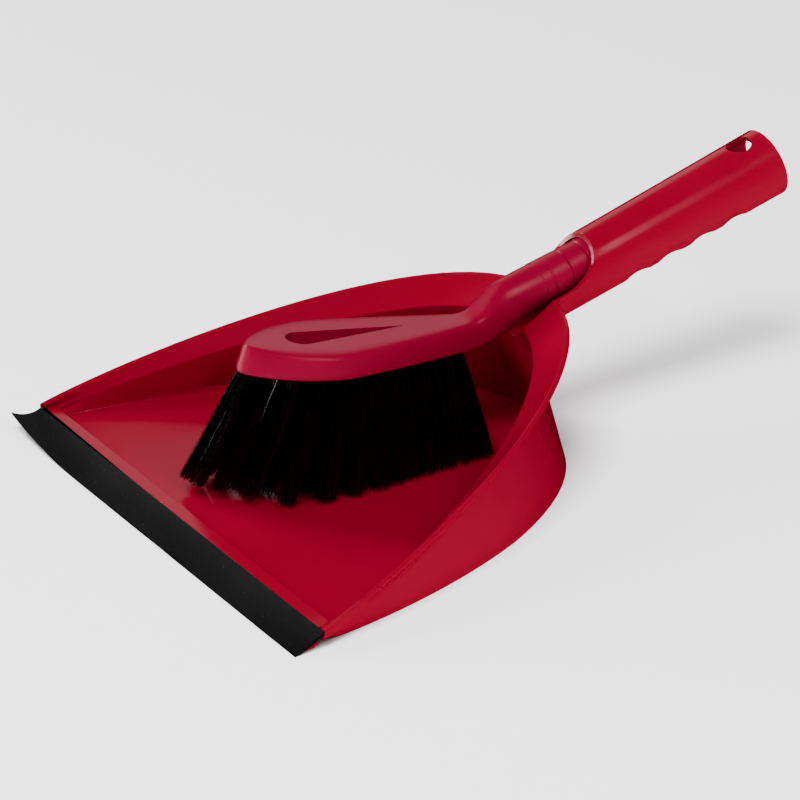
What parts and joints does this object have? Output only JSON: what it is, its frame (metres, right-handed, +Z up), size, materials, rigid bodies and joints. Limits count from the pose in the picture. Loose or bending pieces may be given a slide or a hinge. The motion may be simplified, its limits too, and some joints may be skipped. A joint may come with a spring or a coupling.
{
  "type": "dust pan and brush set",
  "caption": "Dust pan with a rubber lip and a hollow handle that stores the round handle of its bristle hand brush.",
  "frame": {"origin": "middle of the set's length and width, on the plane it stands on", "axes": "+X to the right across the lip, +Y from the lip towards the open end of the hollow handle, +Z up"},
  "size_m": [0.251, 0.3358, 0.1186],
  "materials": {
    "pan_plastic": "glossy crimson, injection moulded",
    "brush_plastic": "satin crimson, fine moulded grain",
    "lip_rubber": "matt charcoal black",
    "bristle_nylon": "glossy black filament",
    "staple_steel": "drawn wire"
  },
  "bodies": {
    "pan": {"dustpan": "pan_plastic", "rubber_lip": "lip_rubber"},
    "brush": {"brush_body": "brush_plastic", "tuft_staples": "staple_steel", "tuft_outer_01": "bristle_nylon", "tuft_outer_02": "bristle_nylon", "tuft_outer_03": "bristle_nylon", "tuft_outer_04": "bristle_nylon", "tuft_outer_05": "bristle_nylon", "tuft_outer_06": "bristle_nylon", "tuft_outer_07": "bristle_nylon", "tuft_outer_08": "bristle_nylon", "tuft_outer_09": "bristle_nylon", "tuft_outer_10": "bristle_nylon", "tuft_outer_11": "bristle_nylon", "tuft_outer_12": "bristle_nylon", "tuft_outer_13": "bristle_nylon", "tuft_outer_14": "bristle_nylon", "tuft_outer_15": "bristle_nylon", "tuft_outer_16": "bristle_nylon", "tuft_outer_17": "bristle_nylon", "tuft_outer_18": "bristle_nylon", "tuft_outer_19": "bristle_nylon", "tuft_outer_20": "bristle_nylon", "tuft_outer_21": "bristle_nylon", "tuft_outer_22": "bristle_nylon", "tuft_outer_23": "bristle_nylon", "tuft_outer_24": "bristle_nylon", "tuft_outer_25": "bristle_nylon", "tuft_outer_26": "bristle_nylon", "tuft_inner_01": "bristle_nylon", "tuft_inner_02": "bristle_nylon", "tuft_inner_03": "bristle_nylon", "tuft_inner_04": "bristle_nylon", "tuft_inner_05": "bristle_nylon", "tuft_inner_06": "bristle_nylon", "tuft_inner_07": "bristle_nylon", "tuft_inner_08": "bristle_nylon", "tuft_inner_09": "bristle_nylon", "tuft_inner_10": "bristle_nylon", "tuft_inner_11": "bristle_nylon", "tuft_inner_12": "bristle_nylon", "tuft_inner_13": "bristle_nylon", "tuft_inner_14": "bristle_nylon", "tuft_inner_15": "bristle_nylon", "tuft_inner_16": "bristle_nylon", "tuft_inner_17": "bristle_nylon"}
  },
  "joints": [
    {"name": "brush_slide", "type": "slide", "parent": "pan", "child": "brush", "axis": [0, -0.9636, -0.2672], "range_m": [0, 0.075], "deforming": ["tuft_outer_01", "tuft_outer_02", "tuft_outer_03", "tuft_outer_04", "tuft_outer_05", "tuft_outer_06", "tuft_outer_07", "tuft_outer_08", "tuft_outer_09", "tuft_outer_10", "tuft_outer_11", "tuft_outer_12", "tuft_outer_13", "tuft_outer_14", "tuft_outer_15", "tuft_outer_16", "tuft_outer_17", "tuft_outer_18", "tuft_outer_19", "tuft_outer_20", "tuft_outer_21", "tuft_outer_22", "tuft_outer_23", "tuft_outer_24", "tuft_outer_25", "tuft_outer_26", "tuft_inner_01", "tuft_inner_02", "tuft_inner_03", "tuft_inner_04", "tuft_inner_05", "tuft_inner_06", "tuft_inner_07", "tuft_inner_08", "tuft_inner_09", "tuft_inner_10", "tuft_inner_11", "tuft_inner_12", "tuft_inner_13", "tuft_inner_14", "tuft_inner_15", "tuft_inner_16", "tuft_inner_17"]}
  ]
}
